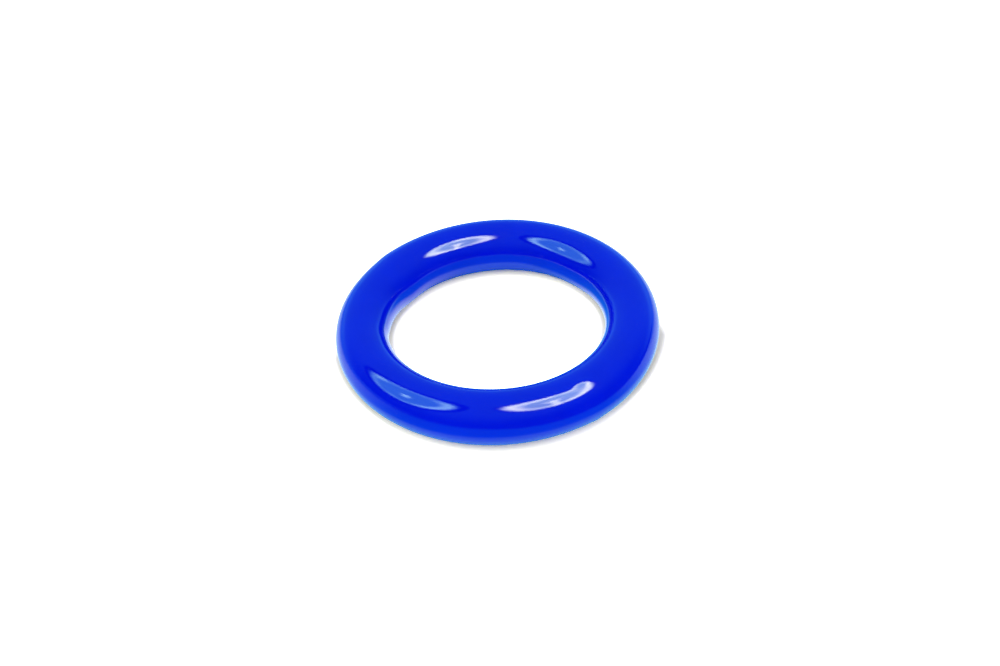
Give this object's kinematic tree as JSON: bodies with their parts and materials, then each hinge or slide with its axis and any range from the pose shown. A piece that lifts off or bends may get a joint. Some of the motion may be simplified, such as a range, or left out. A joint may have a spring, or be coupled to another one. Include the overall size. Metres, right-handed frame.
{
  "type": "friction ring",
  "caption": "Soft solid rubber ring with a round section, pressed and turned by hand to grip and unscrew the back of a watch case.",
  "frame": {"origin": "centre of the ring, on the plane of the land that it rests on", "axes": "+Z is the ring's axis and points up as it lies on a bench; +X and +Y lie in its plane"},
  "size_m": [0.07, 0.07, 0.0116],
  "materials": {
    "friction_rubber": "glossy as moulded, saturated blue all through, with a slightly tacky skin"
  },
  "bodies": {
    "root": {"friction_ring": "friction_rubber"}
  },
  "joints": []
}
